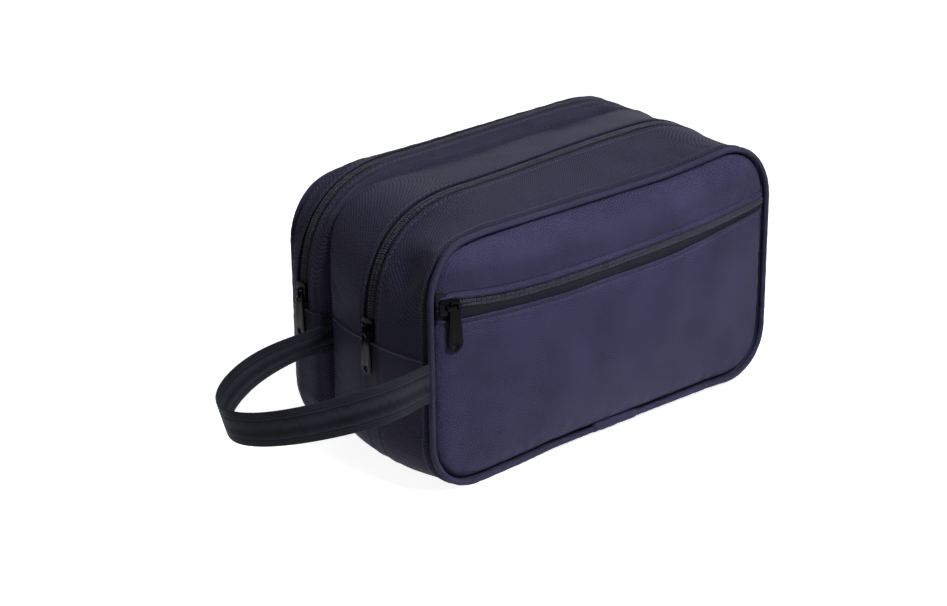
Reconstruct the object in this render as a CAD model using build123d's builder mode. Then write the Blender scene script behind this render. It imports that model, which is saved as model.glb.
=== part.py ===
from build123d import *
import math
import os

# Two-compartment toiletry bag with a zipped front pocket and a wrist strap at its left end.
# The origin is on the ground under the middle of the bag, X along the bag with the strap on
# the -X side, the pocket faces -Y, and Z is up. Sizes are millimetres.

os.makedirs("parts", exist_ok=True)

# Outline of the piped seams and the depths of the three seams
piping_width = 250.0
piping_top = 150.0
piping_corner_top = 39.0
piping_corner_bottom = 31.0
piping_lift = 1.0
piping_bead = 4.2
front_seam = -60.0
mid_seam = 26.0
back_seam = 60.0

# Gusset: how far it is drawn in at the seams and how far it swells under the zips
seam_tuck = 1.0
seam_lift = 1.2
swell_side = 5.5
main_swell_top = 2.0
rear_swell_top = 4.0
zip_corner = 65.0
shoulder_swell = 0.7
shoulder_reach = 17.0
seam_below_slider = 2.0
plateau_margin = 1.75
gusset_wall = 1.2
corner_facets = 10

# Front and back panels
panel_wall = 1.0
front_crown = 15.0
back_crown = 7.0
crown_power_below = 2.6
crown_power_above = 2.0
crown_steps = 3
crown_least_rise = 0.4
backing_wall = 0.8
divider_wall = 1.0

# Zip chain, shared by all three zips
zip_window = 9.5
zip_slit = 1.4
coil_width = 1.9
coil_height = 1.5
tape_width = 8.5
tape_wall = 0.6
tape_overlap = 6.0
pocket_chain_height = 109.6
pocket_edge_above = 2.8
pocket_edge_below = 7.4

# Slider
slider_length = 12.0
slider_nose_width = 8.6
slider_tail_width = 7.8
slider_channel_width = 6.2
slider_plate = 0.9
slider_corner = 1.8
slider_web_length = 4.5
slider_web_width = 0.6
crown_width = 2.2
crown_wall = 0.9
crown_opening = 3.7

# Pull
pull_length = 25.0
pocket_pull_length = 27.5
pull_top_width = 5.4
pull_bottom_width = 8.6
pull_wall = 1.1
pull_eye = 3.6
pull_hole_radius = 1.7
pull_hole_inset = 3.2

# How far the pocket's slider stands from the end of its tape; the other two stand where
# the corner's curve begins
pocket_slider_inset = 6.7

# Seam bindings and the wrapped join of the front piping
binding_width = 5.0
binding_wall = 1.0
join_left = -9.6
join_right = 22.5
join_wall = 0.9
bead_sides = 8

# Wrist strap: its sizes, and the points where its arcs meet
strap_width = 24.0
strap_wall = 1.6
strap_reach = 96.0
strap_droop_deg = 6.0
strap_root_drop = 12.0
strap_root_splay_deg = 20.0
strap_swing_up_deg = 30.0
strap_front_bow = 8.0
strap_front_bow_share = 0.46
strap_turn_share = 0.97
strap_turn_depth_share = 0.33
strap_return_share = 0.8
strap_return_depth_share = 0.79

# Clearances
lay_gap = 0.15
run_gap = 0.4
curve_gap = 0.15
body_gap = 0.3
edge_gap = 0.1

# Values worked out from the driving ones
main_zip = (front_seam + mid_seam) / 2
rear_zip = (mid_seam + back_seam) / 2
seam_width = piping_width - 2 * seam_tuck
seam_top = piping_top - seam_tuck
seam_corner = piping_corner_top - seam_tuck
bottom_corner = piping_corner_bottom - seam_tuck
zip_width = seam_width + 2 * (swell_side + seam_tuck)
main_zip_top = seam_top + main_swell_top + seam_tuck
rear_zip_top = seam_top + rear_swell_top + seam_tuck
window_half = zip_window / 2
plateau_half = window_half + plateau_margin
tube_front = front_seam + piping_bead / 2
tube_back = back_seam - piping_bead / 2
main_track_height = main_zip_top - zip_corner
rear_track_height = rear_zip_top - zip_corner
end_seam_height = main_track_height - slider_length / 2 - seam_below_slider
tape_outer = gusset_wall + lay_gap
tape_inner = tape_outer + tape_wall
coil_top = coil_height - tape_outer
pocket_plateau = zip_slit / 2 + tape_width + run_gap
half_length = piping_width / 2
pocket_radius = (half_length**2 + front_crown**2) / (2 * front_crown)
pocket_center_y = front_seam - front_crown + pocket_radius


def inside_piping_half(height):
    """Half the width that the piping leaves open at one height of the upper corners."""
    rise = max(0, height - (piping_top - piping_corner_top))
    corner = piping_corner_top - piping_bead - 2 * edge_gap
    return half_length - piping_corner_top + math.sqrt(corner**2 - rise**2)


pocket_tape_end = inside_piping_half(pocket_chain_height + zip_slit / 2 + tape_width)
pocket_slider_angle = math.degrees(
    math.asin((pocket_slider_inset - pocket_tape_end) / pocket_radius)
)


# Stations of the gusset: the depth and the width, low, high and top corner of its outline
def stations(near_seam, far_seam, zip_depth, zip_top):
    """Outline sizes of one compartment's gusset at the depths from seam to seam."""
    at_seam = (seam_width, seam_lift, seam_top, seam_corner)
    at_zip = (zip_width, 0.0, zip_top, zip_corner)
    at_shoulder = [
        small + shoulder_swell * (full - small) for small, full in zip(at_seam, at_zip)
    ]
    at_shoulder[1] = 0.0
    listed = [(near_seam, *at_seam)]
    if zip_depth - plateau_half - near_seam > shoulder_reach:
        listed.append((near_seam + shoulder_reach, *at_shoulder))
    listed.append((zip_depth - plateau_half, *at_zip))
    listed.append((zip_depth + plateau_half, *at_zip))
    if far_seam - zip_depth - plateau_half > shoulder_reach:
        listed.append((far_seam - shoulder_reach, *at_shoulder))
    listed.append((far_seam, *at_seam))
    return listed


main_stations = stations(tube_front, mid_seam - divider_wall / 2, main_zip, main_zip_top)
rear_stations = stations(mid_seam + divider_wall / 2, tube_back, rear_zip, rear_zip_top)


def sizes_at(depth, listed):
    """Outline sizes at one depth, straight between the stations beside it."""
    for near, far in zip(listed, listed[1:]):
        if near[0] <= depth <= far[0]:
            share = (depth - near[0]) / (far[0] - near[0])
            return [small + share * (full - small) for small, full in zip(near[1:], far[1:])]
    return listed[-1][1:]


def outline_points(width, low, high, corner_top, corner_bottom):
    """Rounded rectangle whose corners are flat facets laid on the arc from outside."""
    facet = math.radians(90 / corner_facets)
    right_top = width / 2 - corner_top
    right_bottom = width / 2 - corner_bottom
    corners = [
        (right_bottom, low + corner_bottom, corner_bottom, -90),
        (right_top, high - corner_top, corner_top, 0),
        (-right_top, high - corner_top, corner_top, 90),
        (-right_bottom, low + corner_bottom, corner_bottom, 180),
    ]
    points = []
    for center_x, center_z, radius, start in corners:
        reach = radius / math.cos(facet / 2)
        for k in range(corner_facets):
            angle = math.radians(start) + (k + 0.5) * facet
            points.append((center_x + reach * math.cos(angle), center_z + reach * math.sin(angle)))
    return points


def rounded_outline(depth, *sizes):
    """Upright rounded rectangle at one depth."""
    with BuildSketch(Plane.XZ.offset(-depth)) as outline:
        with BuildLine():
            Polyline(*outline_points(*sizes), close=True)
        make_face()
    return outline.sketch


def gusset_points(depth, listed, inset):
    """Corners of the gusset's outline at one depth, drawn in by the inset."""
    width, low, high, corner = sizes_at(depth, listed)
    return outline_points(
        width - 2 * inset, low + inset, high - inset, corner - inset, bottom_corner - inset
    )


def gusset_block(depths, listed, inset):
    """Solid block with flat sides through the gusset's outlines at the depths."""
    rings = [
        [(x, depth, z) for x, z in gusset_points(depth, listed, inset)] for depth in depths
    ]
    faces = [Face(Wire.make_polygon(rings[0])), Face(Wire.make_polygon(rings[-1]))]
    for near, far in zip(rings, rings[1:]):
        for k in range(len(near)):
            faces.append(Face(Wire.make_polygon([near[k - 1], near[k], far[k], far[k - 1]])))
    return Solid(Shell(faces))


def gusset_tube(start, end, listed, outer_inset, inner_inset):
    """Band round the bag between two depths, and between two insets."""
    between = [station[0] for station in listed if start < station[0] < end]
    depths = [start, *between, end]
    with BuildPart() as tube:
        add(gusset_block(depths, listed, outer_inset))
        add(gusset_block(depths, listed, inner_inset), mode=Mode.SUBTRACT)
    return tube.part


def gusset_sheet(depth, listed, inset, wall):
    """Flat sheet that fills the gusset's outline from one depth."""
    with BuildPart() as sheet:
        with BuildSketch(Plane.XZ.offset(-depth)):
            with BuildLine():
                Polyline(*gusset_points(depth, listed, inset), close=True)
            make_face()
        extrude(amount=wall, dir=(0, 1, 0))
    return sheet.part


def save(piece, name):
    """Label one finished piece and write its file."""
    piece.part.label = name
    export_step(piece.part, f"parts/{name}.step")


# Gusset bands above the end seams and the base under them, for both compartments
above_end_seam = Plane.XY.offset(end_seam_height)
compartments = {
    "main": (main_stations, main_zip),
    "rear": (rear_stations, rear_zip),
}
for compartment, (listed, zip_depth) in compartments.items():
    near_end = listed[0][0]
    far_end = listed[-1][0]

    with BuildPart() as front_band:
        add(gusset_tube(near_end, zip_depth - window_half, listed, 0, gusset_wall))
        split(bisect_by=above_end_seam, keep=Keep.TOP)
    save(front_band, f"{compartment}_band_front")

    with BuildPart() as rear_band:
        add(gusset_tube(zip_depth + window_half, far_end, listed, 0, gusset_wall))
        split(bisect_by=above_end_seam, keep=Keep.TOP)
    save(rear_band, f"{compartment}_band_rear")

    with BuildPart() as base:
        add(gusset_tube(near_end, far_end, listed, 0, gusset_wall))
        split(bisect_by=above_end_seam, keep=Keep.BOTTOM)
    save(base, f"{compartment}_base")

    # Zip tapes under the window's edges, with the coils along the slit between them
    for side, sign in (("front", -1), ("rear", 1)):
        tape_edges = sorted(zip_depth + sign * (zip_slit / 2 + reach) for reach in (0, tape_width))
        with BuildPart() as tape:
            add(gusset_tube(*tape_edges, listed, tape_outer, tape_inner))
            split(bisect_by=Plane.XY.offset(end_seam_height - tape_overlap), keep=Keep.TOP)
        save(tape, f"{compartment}_zip_tape_{side}")

        coil_edges = sorted(zip_depth + sign * (zip_slit / 2 + reach) for reach in (0, coil_width))
        with BuildPart() as coil:
            add(gusset_tube(*coil_edges, listed, -coil_top, tape_outer))
            split(bisect_by=above_end_seam, keep=Keep.TOP)
        save(coil, f"{compartment}_zip_coil_{side}")

# Divider between the compartments, sewn into the middle seam
with BuildPart() as divider_panel:
    add(
        gusset_sheet(
            mid_seam - divider_wall / 2, main_stations, gusset_wall / 2, divider_wall
        )
    )
save(divider_panel, "divider_panel")

# Seam bindings inside the compartments
binding_outer = gusset_wall + lay_gap
binding_inner = binding_outer + binding_wall
backing_front = tube_front + 2 * edge_gap
backing_rear = backing_front + backing_wall
bindings = {
    "front_seam_binding": (backing_rear + edge_gap, 1, main_stations),
    "mid_seam_binding_front": (mid_seam - divider_wall / 2 - edge_gap, -1, main_stations),
    "mid_seam_binding_rear": (mid_seam + divider_wall / 2 + edge_gap, 1, rear_stations),
    "back_seam_binding": (tube_back - edge_gap, -1, rear_stations),
}
for name, (seam_side, direction, listed) in bindings.items():
    binding_edges = sorted((seam_side, seam_side + direction * binding_width))
    with BuildPart() as binding:
        add(gusset_tube(*binding_edges, listed, binding_outer, binding_inner))
    save(binding, name)

# Backing behind the pocket
with BuildPart() as front_backing_panel:
    add(gusset_sheet(backing_front, main_stations, gusset_wall + edge_gap, backing_wall))
save(front_backing_panel, "front_backing_panel")


# Crowned panels: arcs in plan, whose rise follows a power curve over the height
def crown_share(height, plateau_low, plateau_high):
    """Share of the full crown at one height."""
    if height < plateau_low:
        return 1 - ((plateau_low - height) / (plateau_low - piping_lift)) ** crown_power_below
    if height > plateau_high:
        return 1 - ((height - plateau_high) / (piping_top - plateau_high)) ** crown_power_above
    return 1.0


def crown_slice(height, seam_depth, outward, rise):
    """Bent strip of the panel's thickness at one height."""
    inward = -outward * panel_wall
    left, right = -half_length, half_length
    with BuildSketch(Plane.XY.offset(height)) as strip:
        with BuildLine():
            outer = ThreePointArc(
                (left, seam_depth), (0, seam_depth + outward * rise), (right, seam_depth)
            )
            Line(outer @ 1, (right, seam_depth + inward))
            inner = ThreePointArc(
                (right, seam_depth + inward),
                (0, seam_depth + inward + outward * rise),
                (left, seam_depth + inward),
            )
            Line(inner @ 1, outer @ 0)
        make_face()
    return strip.sketch


def crowned_panel(seam_depth, outward, crown, low, high, plateau):
    """Crowned sheet between two heights, cut to the inside of the piping."""
    climb = [math.sin(k / crown_steps * math.pi / 2) for k in range(crown_steps + 1)]
    heights = [low + (plateau[0] - low) * share for share in climb]
    heights += [plateau[1] + (high - plateau[1]) * (1 - share) for share in reversed(climb)]
    strips = [
        crown_slice(
            height,
            seam_depth,
            outward,
            max(crown_least_rise, crown * crown_share(height, *plateau)),
        )
        for height in heights
    ]
    inside_piping = piping_bead + edge_gap
    trim = rounded_outline(
        seam_depth + outward * (crown + panel_wall),
        piping_width - 2 * inside_piping,
        piping_lift + inside_piping,
        piping_top - inside_piping,
        piping_corner_top - inside_piping,
        piping_corner_bottom - inside_piping,
    )
    with BuildPart() as sheet:
        loft(strips, ruled=True)
        extrude(
            trim,
            amount=crown + 3 * panel_wall,
            dir=(0, -outward, 0),
            mode=Mode.INTERSECT,
        )
    return sheet.part


pocket_band = (pocket_chain_height - pocket_plateau, pocket_chain_height + pocket_plateau)
front_sheet = crowned_panel(front_seam, -1, front_crown, piping_lift, piping_top, pocket_band)

with BuildPart() as front_pocket_panel:
    add(front_sheet)
    split(bisect_by=Plane.XY.offset(pocket_chain_height - pocket_edge_below), keep=Keep.BOTTOM)
save(front_pocket_panel, "front_pocket_panel")

with BuildPart() as front_upper_panel:
    add(front_sheet)
    split(bisect_by=Plane.XY.offset(pocket_chain_height + pocket_edge_above), keep=Keep.TOP)
save(front_upper_panel, "front_upper_panel")

back_middle = (piping_lift + piping_top) / 2
with BuildPart() as back_panel:
    add(
        crowned_panel(
            back_seam,
            1,
            back_crown,
            piping_lift,
            piping_top,
            (back_middle - pocket_plateau, back_middle + pocket_plateau),
        )
    )
save(back_panel, "back_panel")


# Pocket zip: bent strips about the upright axis of the pocket's arc
def pocket_strip(low, high, outer_rise, inner_rise):
    """Bent strip between two heights and two distances from the panel's face."""
    reach = math.degrees(math.asin(inside_piping_half(high) / pocket_radius))
    with BuildSketch(Plane.XY.offset(low)) as plan:
        with BuildLine():
            outer = CenterArc(
                (0, pocket_center_y), pocket_radius + outer_rise, -90 - reach, 2 * reach
            )
            inner = CenterArc(
                (0, pocket_center_y), pocket_radius + inner_rise, -90 - reach, 2 * reach
            )
            Line(outer @ 0, inner @ 0)
            Line(outer @ 1, inner @ 1)
        make_face()
    with BuildPart() as strip:
        extrude(plan.sketch, amount=high - low)
    return strip.part


pocket_tape_outer = -(panel_wall + lay_gap)
pocket_tape_inner = pocket_tape_outer - tape_wall
pocket_coil_top = pocket_tape_outer + coil_height
for side, sign in (("lower", -1), ("upper", 1)):
    tape_heights = sorted(
        pocket_chain_height + sign * (zip_slit / 2 + reach) for reach in (0, tape_width)
    )
    with BuildPart() as pocket_tape:
        add(pocket_strip(*tape_heights, pocket_tape_outer, pocket_tape_inner))
    save(pocket_tape, f"pocket_zip_tape_{side}")

    coil_heights = sorted(
        pocket_chain_height + sign * (zip_slit / 2 + reach) for reach in (0, coil_width)
    )
    with BuildPart() as pocket_coil:
        add(pocket_strip(*coil_heights, pocket_coil_top, pocket_tape_outer))
    save(pocket_coil, f"pocket_zip_coil_{side}")


# Piping: a round bead along the outline of the front and back seams
def piping_route(seam_depth):
    """Centre line of the bead at one seam."""
    inset = piping_bead / 2
    low = piping_lift + inset
    points = outline_points(
        piping_width - 2 * inset,
        low,
        piping_top - inset,
        piping_corner_top - inset,
        piping_corner_bottom - inset,
    )
    with BuildLine(Plane.XZ.offset(-seam_depth)) as route:
        Polyline((0, low), *points, close=True)
    return route.wire()


for name, seam_depth in (("front_piping", front_seam), ("back_piping", back_seam)):
    bead_route = piping_route(seam_depth)
    with BuildPart() as piping:
        with BuildSketch(Plane(origin=bead_route @ 0, z_dir=bead_route % 0)):
            RegularPolygon(piping_bead / 2, bead_sides)
        sweep(path=bead_route, transition=Transition.RIGHT)
    save(piping, name)

# Wrapped join where the ends of the front piping meet under the pocket
bead_height = piping_lift + piping_bead / 2
join_length = join_right - join_left
with BuildPart() as front_piping_join:
    with BuildSketch(Plane(origin=(join_left, front_seam, bead_height), z_dir=(1, 0, 0))):
        Circle(piping_bead / 2 + join_wall)
    extrude(amount=join_length)
    chamfer(front_piping_join.edges().filter_by(GeomType.CIRCLE), join_wall / 2)
    with BuildSketch(Plane(origin=(join_left, front_seam, bead_height), z_dir=(1, 0, 0))):
        Circle(piping_bead / 2)
    extrude(amount=join_length, mode=Mode.SUBTRACT)
    split(
        bisect_by=Plane(origin=(join_left, front_seam, bead_height), z_dir=(0, 1, 1)),
        keep=Keep.BOTTOM,
    )
save(front_piping_join, "front_piping_join")


# Sliders: two plates joined by a web through the slit, with a crown for the pull.
# In each slider's plane x is its travel, y is outward and the track's centre is on -y.
def slider_solid(place, radius, coil_rise, tape_depth, rest_gap, lip_low):
    """One slider about a track of the radius given."""
    center = (0, -radius)
    half_angle = math.degrees(slider_length / 2 / radius)
    plate_low = coil_rise + rest_gap
    plate_high = plate_low + slider_plate
    under_high = -(tape_depth + run_gap)
    under_low = under_high - slider_plate

    def sector(low, high, start=-half_angle, span=2 * half_angle):
        """Ring sector between two distances from the panel's face."""
        with BuildSketch(place) as ring:
            with BuildLine():
                outer = CenterArc(center, radius + high, 90 + start, span)
                inner = CenterArc(center, radius + low, 90 + start, span)
                Line(outer @ 0, inner @ 0)
                Line(outer @ 1, inner @ 1)
            make_face()
        return ring.sketch

    web_angle = math.degrees(slider_web_length / radius)
    nose_angle = half_angle - web_angle - math.degrees(slider_corner / 2 / radius)
    arch_half = crown_opening / 2 + crown_wall
    arch_low = plate_high - slider_plate / 2
    arch_high = plate_high + 2 * body_gap + pull_wall + crown_wall
    face_plane = Plane(place.origin, x_dir=place.x_dir, z_dir=place.y_dir)

    with BuildPart() as slider:
        extrude(sector(lip_low, plate_high), amount=slider_nose_width / 2, both=True)
        extrude(
            sector(lip_low, plate_low, -half_angle - 1, 2 * half_angle + 2),
            amount=slider_channel_width / 2,
            both=True,
            mode=Mode.SUBTRACT,
        )
        extrude(sector(under_low, under_high), amount=slider_nose_width / 2, both=True)
        with BuildSketch(face_plane.offset(under_low - slider_plate)) as shield:
            with BuildLine():
                Polyline(
                    (-slider_length / 2, -slider_nose_width / 2),
                    (slider_length / 2, -slider_tail_width / 2),
                    (slider_length / 2, slider_tail_width / 2),
                    (-slider_length / 2, slider_nose_width / 2),
                    close=True,
                )
            make_face()
            fillet(shield.vertices(), slider_corner)
        extrude(amount=plate_high - under_low + 3 * slider_plate, mode=Mode.INTERSECT)
        web_low = under_high - slider_plate / 2
        web_high = plate_low + slider_plate / 2
        extrude(
            sector(web_low, web_high, nose_angle, web_angle),
            amount=slider_web_width / 2,
            both=True,
        )
        with BuildSketch(place) as arch:
            with Locations((0, (arch_low + arch_high) / 2)):
                Rectangle(2 * arch_half, arch_high - arch_low)
            fillet(arch.vertices().group_by(Axis.Y)[-1], crown_wall)
            with Locations((0, (arch_low + arch_high) / 2 - crown_wall)):
                Rectangle(crown_opening, arch_high - arch_low, mode=Mode.SUBTRACT)
        extrude(amount=crown_width / 2, both=True)
    return slider.part


# Pulls: flat tabs with a square eye for the crown and a round hole at the free end
def pull_solid(plane, length):
    """One pull in its own plane, its crossbar at the origin and its length along -y."""
    with BuildPart() as pull:
        with BuildSketch(plane) as tab:
            with BuildLine():
                Polyline(
                    (-pull_top_width / 2, pull_wall / 2),
                    (pull_top_width / 2, pull_wall / 2),
                    (pull_bottom_width / 2, -length + pull_bottom_width / 2),
                    (-pull_bottom_width / 2, -length + pull_bottom_width / 2),
                    close=True,
                )
            make_face()
            fillet(tab.vertices().group_by(Axis.Y)[-1], pull_wall)
            with Locations((0, -length + pull_bottom_width / 2)):
                Circle(pull_bottom_width / 2)
            with Locations((0, -pull_wall / 2 - pull_eye / 2)):
                Rectangle(pull_eye, pull_eye, mode=Mode.SUBTRACT)
            with Locations((0, -length + pull_hole_inset)):
                Circle(pull_hole_radius, mode=Mode.SUBTRACT)
        extrude(amount=pull_wall / 2, both=True)
    return pull.part


gusset_rest_gap = run_gap + curve_gap
bail_rise = coil_top + gusset_rest_gap + slider_plate + body_gap + pull_wall / 2
bail_drop = crown_opening / 2 - body_gap - pull_wall / 2
tracks = {
    "main": (main_zip, main_track_height),
    "rear": (rear_zip, rear_track_height),
}
for compartment, (zip_depth, track_height) in tracks.items():
    slider_place = Plane(
        origin=(-zip_width / 2, zip_depth, track_height), x_dir=(0, 0, 1), z_dir=(0, -1, 0)
    )
    with BuildPart() as gusset_slider:
        add(
            slider_solid(
                slider_place, zip_corner, coil_top, tape_inner, gusset_rest_gap, -body_gap
            )
        )
    save(gusset_slider, f"{compartment}_slider")

    pull_place = Plane(
        origin=(-zip_width / 2 - bail_rise, zip_depth, track_height - bail_drop),
        x_dir=(0, -1, 0),
        z_dir=(-1, 0, 0),
    )
    with BuildPart() as gusset_pull:
        add(pull_solid(pull_place, pull_length))
    save(gusset_pull, f"{compartment}_pull")

outward = (
    math.sin(math.radians(pocket_slider_angle)),
    -math.cos(math.radians(pocket_slider_angle)),
    0,
)
along = (-outward[1], outward[0], 0)
pocket_face_point = (
    pocket_radius * outward[0],
    pocket_center_y + pocket_radius * outward[1],
    pocket_chain_height,
)
pocket_place = Plane(origin=pocket_face_point, x_dir=along, z_dir=(0, 0, -1))
pocket_rest_gap = run_gap
with BuildPart() as pocket_slider:
    add(
        slider_solid(
            pocket_place,
            pocket_radius,
            pocket_coil_top,
            -pocket_tape_inner,
            pocket_rest_gap,
            body_gap,
        )
    )
save(pocket_slider, "pocket_slider")

# The pocket's pull hangs square to the chain, on the crown's leg nearer the tail
leg_offset = (crown_opening + crown_wall) / 2
pocket_bail_rise = pocket_coil_top + pocket_rest_gap + slider_plate + body_gap + pull_wall / 2
eye_center = (pull_wall + pull_eye) / 2
pocket_pull_point = tuple(
    base + along[k] * leg_offset + outward[k] * pocket_bail_rise
    for k, base in enumerate(pocket_face_point)
)
pocket_pull_place = Plane(
    origin=(pocket_pull_point[0], pocket_pull_point[1], pocket_pull_point[2] + eye_center),
    x_dir=along,
    z_dir=outward,
)
with BuildPart() as pocket_pull:
    add(pull_solid(pocket_pull_place, pocket_pull_length))
save(pocket_pull, "pocket_pull")

# Wrist strap: one loop of webbing from the front seam to the middle seam, drooping outward
droop = math.radians(strap_droop_deg)
strap_root_x = -(seam_width / 2 + seam_tuck + body_gap)
strap_root_height = end_seam_height - strap_root_drop
strap_plane = Plane(
    origin=(strap_root_x, 0, strap_root_height),
    x_dir=(math.cos(droop), 0, math.sin(droop)),
    z_dir=(-math.sin(droop), 0, math.cos(droop)),
)
strap_span = mid_seam - front_seam
splay = math.radians(strap_root_splay_deg)
bow_point = (-strap_front_bow_share * strap_reach, front_seam - strap_front_bow)
turn_point = (-strap_turn_share * strap_reach, front_seam + strap_turn_depth_share * strap_span)
return_point = (
    -strap_return_share * strap_reach,
    front_seam + strap_return_depth_share * strap_span,
)
trim_reach = strap_width
trim_depth = strap_width * math.tan(math.radians(strap_swing_up_deg))
with BuildPart() as handle_strap:
    with BuildSketch(strap_plane) as webbing:
        with BuildLine():
            bow = TangentArc(
                (0, front_seam), bow_point, tangent=(-math.cos(splay), -math.sin(splay))
            )
            turn = TangentArc(bow_point, turn_point, tangent=bow % 1)
            bend = TangentArc(turn_point, return_point, tangent=turn % 1)
            TangentArc(return_point, (0, mid_seam), tangent=bend % 1)
        trace(line_width=strap_wall)
    extrude(amount=strap_width / 2, both=True)
    with BuildSketch(Plane.XZ):
        with BuildLine():
            Polyline(
                (strap_root_x, strap_root_height),
                (strap_root_x - trim_depth, strap_root_height + trim_reach),
                (strap_root_x + trim_reach, strap_root_height + trim_reach),
                (strap_root_x + trim_reach, strap_root_height - trim_reach),
                (strap_root_x - trim_depth, strap_root_height - trim_reach),
                close=True,
            )
        make_face()
    extrude(amount=strap_span, both=True, mode=Mode.SUBTRACT)
save(handle_strap, "handle_strap")
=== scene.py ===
import math

import bmesh
import bpy
import numpy as np
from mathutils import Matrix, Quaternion, Vector


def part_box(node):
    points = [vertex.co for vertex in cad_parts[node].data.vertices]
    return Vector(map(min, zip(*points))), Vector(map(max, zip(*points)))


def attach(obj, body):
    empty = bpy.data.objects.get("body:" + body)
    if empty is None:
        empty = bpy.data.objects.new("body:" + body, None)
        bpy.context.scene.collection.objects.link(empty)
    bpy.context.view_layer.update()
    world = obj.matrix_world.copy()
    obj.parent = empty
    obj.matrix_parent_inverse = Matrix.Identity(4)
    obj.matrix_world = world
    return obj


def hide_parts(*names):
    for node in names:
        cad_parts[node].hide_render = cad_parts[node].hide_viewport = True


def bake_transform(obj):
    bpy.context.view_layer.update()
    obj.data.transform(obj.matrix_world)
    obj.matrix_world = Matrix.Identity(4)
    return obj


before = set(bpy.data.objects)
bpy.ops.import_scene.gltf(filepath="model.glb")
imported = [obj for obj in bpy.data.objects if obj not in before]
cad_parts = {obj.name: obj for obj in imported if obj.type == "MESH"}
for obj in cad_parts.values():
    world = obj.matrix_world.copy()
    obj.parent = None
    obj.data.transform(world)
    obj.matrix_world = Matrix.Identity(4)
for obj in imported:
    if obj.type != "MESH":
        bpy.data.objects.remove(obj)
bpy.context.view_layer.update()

# The bag stands on a plain pale floor. It is seen from the left of its front and from a little
# above, and a small soft lamp over its front brings out the violet of the front panel.
mm = 0.001
view_azimuth = math.radians(-39.28)
view_elevation = math.radians(23.13)
view_roll = math.radians(-0.59)
view_distance = 1328.54 * mm
view_target = Vector((-45.27, 0, 72.2)) * mm

toward_camera = Vector((
    math.sin(view_azimuth) * math.cos(view_elevation),
    -math.cos(view_azimuth) * math.cos(view_elevation),
    math.sin(view_elevation),
))
camera_data = bpy.data.cameras.new("photo_camera")
camera_data.sensor_width = 36
camera_data.lens = 90.57
camera_data.clip_start = 0.05
camera_data.clip_end = 50
camera = bpy.data.objects.new("photo_camera", camera_data)
camera.location = view_target + toward_camera * view_distance
camera.rotation_mode = "QUATERNION"
level_view = (-toward_camera).to_track_quat("-Z", "Y")
camera.rotation_quaternion = level_view @ Quaternion((0, 0, 1), view_roll)
bpy.context.collection.objects.link(camera)
scene = bpy.context.scene
scene.camera = camera
scene.view_settings.view_transform = "Standard"


def soft_lamp(name, place, aim, size, power, colour, spread=180):
    """Square studio lamp that points from its place to its aim; a grid narrows its spread."""
    data = bpy.data.lights.new(name, "AREA")
    data.spread = math.radians(spread)
    data.shape = "SQUARE"
    data.size = size
    data.energy = power
    data.color = colour
    lamp = bpy.data.objects.new(name, data)
    lamp.location = place
    lamp.rotation_euler = (Vector(aim) - Vector(place)).to_track_quat("-Z", "Y").to_euler()
    bpy.context.collection.objects.link(lamp)


soft_lamp(
    "front_lamp", (0.1, -0.75, 0.9), (-0.01, -0.05, 0.05), 0.3, 1.08, (0.98, 0.98, 1.0), spread=46
)
soft_lamp("top_lamp", (0.3, -0.3, 1.9), (0, 0, 0.1), 1.2, 3, (1.0, 1.0, 1.0))
soft_lamp("left_lamp", (-1.5, -0.9, 0.8), (0, 0, 0.07), 0.8, 1, (0.95, 0.97, 1.0))
soft_lamp("back_lamp", (0.5, 1.7, 0.6), (0, 0, 0.07), 0.8, 4.5, (0.97, 0.98, 1.0))


def new_tree(material):
    """Empty node tree of a material, with its output."""
    material.use_nodes = True
    tree = material.node_tree
    tree.nodes.clear()
    return tree, tree.nodes.new("ShaderNodeOutputMaterial")


def seen_share(tree):
    """1 for rays from the camera, from gloss and through glass, and 0 for the rest."""
    path = tree.nodes.new("ShaderNodeLightPath")
    first = tree.nodes.new("ShaderNodeMath")
    first.operation = "MAXIMUM"
    tree.links.new(path.outputs["Is Camera Ray"], first.inputs[0])
    tree.links.new(path.outputs["Is Glossy Ray"], first.inputs[1])
    second = tree.nodes.new("ShaderNodeMath")
    second.operation = "MAXIMUM"
    tree.links.new(first.outputs[0], second.inputs[0])
    tree.links.new(path.outputs["Is Transmission Ray"], second.inputs[1])
    return second.outputs[0]


world = bpy.data.worlds.new("studio")
scene.world = world
world.use_nodes = True
world.node_tree.nodes.clear()
world_output = world.node_tree.nodes.new("ShaderNodeOutputWorld")
world_mix = world.node_tree.nodes.new("ShaderNodeMixShader")
room = world.node_tree.nodes.new("ShaderNodeBackground")
room.inputs["Strength"].default_value = 0.12
backdrop = world.node_tree.nodes.new("ShaderNodeBackground")
backdrop.inputs["Color"].default_value = (1, 1, 1, 1)
backdrop.inputs["Strength"].default_value = 1.0
world.node_tree.links.new(seen_share(world.node_tree), world_mix.inputs[0])
world.node_tree.links.new(room.outputs[0], world_mix.inputs[1])
world.node_tree.links.new(backdrop.outputs[0], world_mix.inputs[2])
world.node_tree.links.new(world_mix.outputs[0], world_output.inputs[0])

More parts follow.
